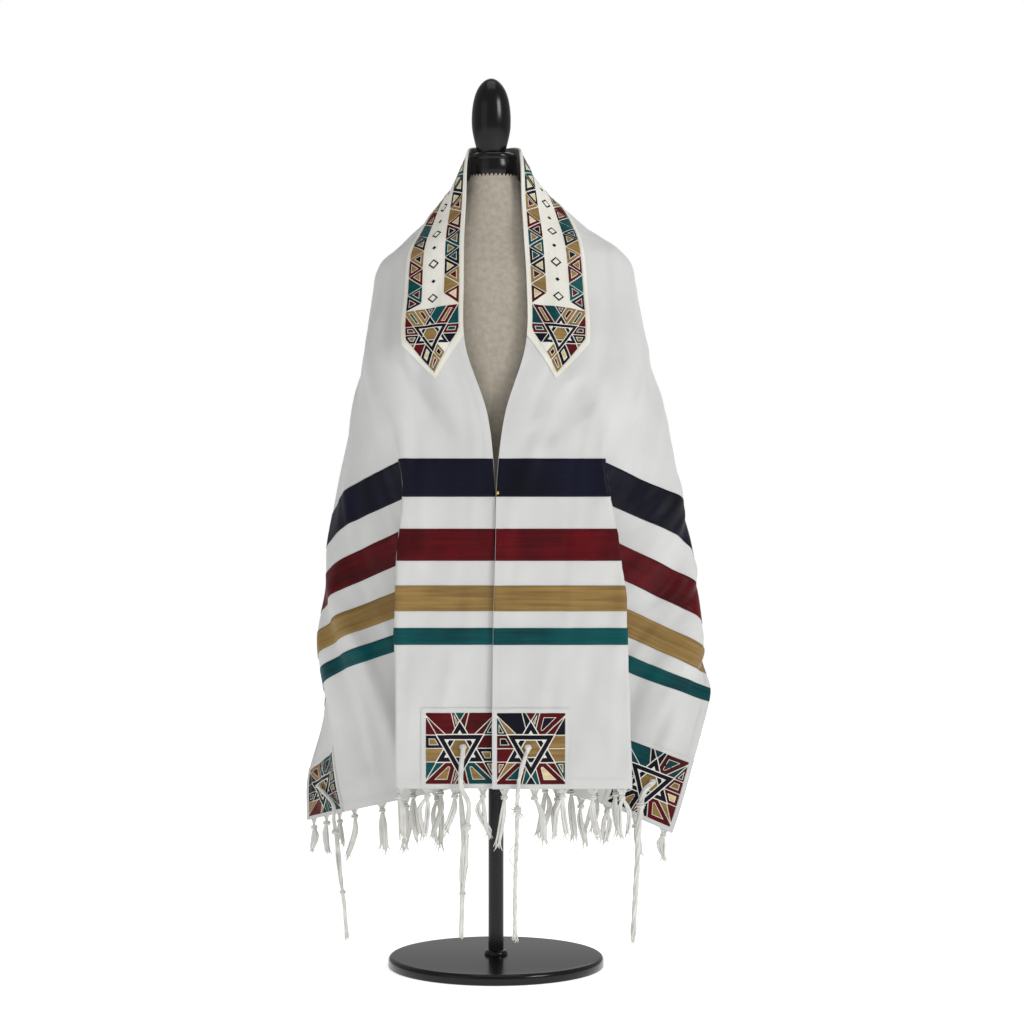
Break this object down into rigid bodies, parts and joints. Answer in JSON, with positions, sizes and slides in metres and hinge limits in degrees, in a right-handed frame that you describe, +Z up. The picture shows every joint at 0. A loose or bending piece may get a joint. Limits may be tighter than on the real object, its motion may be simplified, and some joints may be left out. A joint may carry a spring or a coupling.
{
  "type": "tallit prayer shawl on a limbless dress form",
  "caption": "Striped white prayer shawl with patchwork neckband, corner squares, fringe and corner tassels, draped like a cape on a limbless dress form on a stand.",
  "frame": {"origin": "centre of the base's underside", "axes": "+Z up along the pole, -Y the front where the two ends meet, +X to the right seen from the front"},
  "size_m": [0.5352, 0.3493, 1.151],
  "materials": {
    "shawl": "fine matt weave, off-white",
    "navy_satin": "satin, navy",
    "burgundy_satin": "satin, burgundy",
    "gold_satin": "satin with slubs, old gold",
    "teal_satin": "satin, teal",
    "mosaic": "woven patches in navy, burgundy, gold and teal with white lines",
    "binding": "cream stitched binding",
    "cord": "twisted cotton and wool threads, off-white",
    "pin": "polished",
    "linen": "plain linen weave, grey beige",
    "black_gloss": "turned and painted gloss black"
  },
  "bodies": {
    "root": {"corner_border_left_inner": "binding", "corner_border_left_outer": "binding", "corner_border_right_inner": "binding", "corner_border_right_outer": "binding", "corner_square_left_inner": "mosaic", "corner_square_left_outer": "mosaic", "corner_square_right_inner": "mosaic", "corner_square_right_outer": "mosaic", "eyelet_left_inner": "cord", "eyelet_left_outer": "cord", "eyelet_right_inner": "cord", "eyelet_right_outer": "cord", "form_base": "black_gloss", "form_finial": "black_gloss", "form_flange": "black_gloss", "form_neck_block": "black_gloss", "form_pole": "black_gloss", "form_torso": "linen", "fringe_left": "cord", "fringe_right": "cord", "front_pin": "pin", "neckband": "mosaic", "neckband_binding": "binding", "shawl_back": "shawl", "shawl_left_front": "shawl", "shawl_right_front": "shawl", "stripe_burgundy_left": "burgundy_satin", "stripe_burgundy_right": "burgundy_satin", "stripe_gold_left": "gold_satin", "stripe_gold_right": "gold_satin", "stripe_navy_left": "navy_satin", "stripe_navy_right": "navy_satin", "stripe_teal_left": "teal_satin", "stripe_teal_right": "teal_satin", "tzitzit_left_inner": "cord", "tzitzit_left_outer": "cord", "tzitzit_right_inner": "cord", "tzitzit_right_outer": "cord"}
  },
  "joints": []
}
